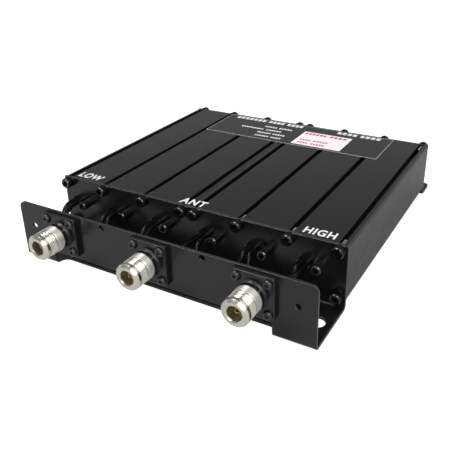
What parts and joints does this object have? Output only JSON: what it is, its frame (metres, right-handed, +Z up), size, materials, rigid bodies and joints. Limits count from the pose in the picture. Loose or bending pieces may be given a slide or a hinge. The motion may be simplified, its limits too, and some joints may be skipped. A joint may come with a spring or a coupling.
{
  "type": "duplexer",
  "caption": "Flat metal duplexer: extruded cavity blocks with screw-tuned resonators behind a folded front panel that carries threaded coaxial jacks.",
  "frame": {"origin": "midway between the two front mounting holes, on the underside of the base plate", "axes": "+X to the right across the cavities as seen from the jacks, +Y from the jacks to the rear cover, +Z up from the surface that the device stands on"},
  "size_m": [0.2, 0.2454, 0.0407],
  "materials": {
    "block_paint": "extruded aluminium, satin black",
    "sheet_paint": "folded aluminium sheet, gloss black enamel",
    "nickel": "turned brass, nickel plated; flange and neck blackened",
    "insulator": "turned plastic",
    "gold": "turned brass, gold plated",
    "silver_plate": "turned brass, silver plated",
    "brass": "turned brass",
    "tuning_steel": "turned steel",
    "lead_jacket": "extruded plastic jacket, gloss black",
    "nut_steel": "black oxide steel",
    "black_steel": "black oxide steel, oiled"
  },
  "bodies": {
    "root": {"ant_jack_body": "nickel", "ant_jack_contact": "gold", "ant_jack_insulator": "insulator", "ant_lead_3": "lead_jacket", "ant_lead_4": "lead_jacket", "coupling_probe_1": "brass", "coupling_probe_2": "brass", "coupling_probe_3": "brass", "coupling_probe_4": "brass", "coupling_probe_5": "brass", "coupling_probe_6": "brass", "flange_nuts": "nut_steel", "flange_screws": "black_steel", "front_bracket": "sheet_paint", "front_cover_screws": "black_steel", "front_cover_washers": "black_steel", "high_cavity_block": "block_paint", "high_jack_body": "nickel", "high_jack_contact": "gold", "high_jack_insulator": "insulator", "high_lead": "lead_jacket", "link_lead_1_2": "lead_jacket", "link_lead_2_3": "lead_jacket", "link_lead_4_5": "lead_jacket", "link_lead_5_6": "lead_jacket", "low_cavity_block": "block_paint", "low_jack_body": "nickel", "low_jack_contact": "gold", "low_jack_insulator": "insulator", "low_lead": "lead_jacket", "rear_cover": "sheet_paint", "rear_cover_screws": "black_steel", "rear_cover_washers": "black_steel", "resonator_1": "silver_plate", "resonator_2": "silver_plate", "resonator_3": "silver_plate", "resonator_4": "silver_plate", "resonator_5": "silver_plate", "resonator_6": "silver_plate", "resonator_screws": "black_steel", "tap_ferrule_1": "nickel", "tap_ferrule_2": "nickel", "tap_ferrule_3": "nickel", "tap_ferrule_4": "nickel", "tap_ferrule_5": "nickel", "tap_ferrule_6": "nickel", "tuning_bushing_1": "brass", "tuning_bushing_2": "brass", "tuning_bushing_3": "brass", "tuning_bushing_4": "brass", "tuning_bushing_5": "brass", "tuning_bushing_6": "brass"},
    "tuning_screw_1": {"tuning_screw_1": "tuning_steel"},
    "tuning_screw_2": {"tuning_screw_2": "tuning_steel"},
    "tuning_screw_3": {"tuning_screw_3": "tuning_steel"},
    "tuning_screw_4": {"tuning_screw_4": "tuning_steel"},
    "tuning_screw_5": {"tuning_screw_5": "tuning_steel"},
    "tuning_screw_6": {"tuning_screw_6": "tuning_steel"}
  },
  "joints": [
    {"name": "tuning_1", "type": "slide", "parent": "root", "child": "tuning_screw_1", "axis": [0, -1, 0], "range_m": [-0.004, 0.005]},
    {"name": "tuning_2", "type": "slide", "parent": "root", "child": "tuning_screw_2", "axis": [0, -1, 0], "range_m": [-0.004, 0.005]},
    {"name": "tuning_3", "type": "slide", "parent": "root", "child": "tuning_screw_3", "axis": [0, -1, 0], "range_m": [-0.004, 0.005]},
    {"name": "tuning_4", "type": "slide", "parent": "root", "child": "tuning_screw_4", "axis": [0, -1, 0], "range_m": [-0.004, 0.005]},
    {"name": "tuning_5", "type": "slide", "parent": "root", "child": "tuning_screw_5", "axis": [0, -1, 0], "range_m": [-0.004, 0.005]},
    {"name": "tuning_6", "type": "slide", "parent": "root", "child": "tuning_screw_6", "axis": [0, -1, 0], "range_m": [-0.004, 0.005]}
  ]
}
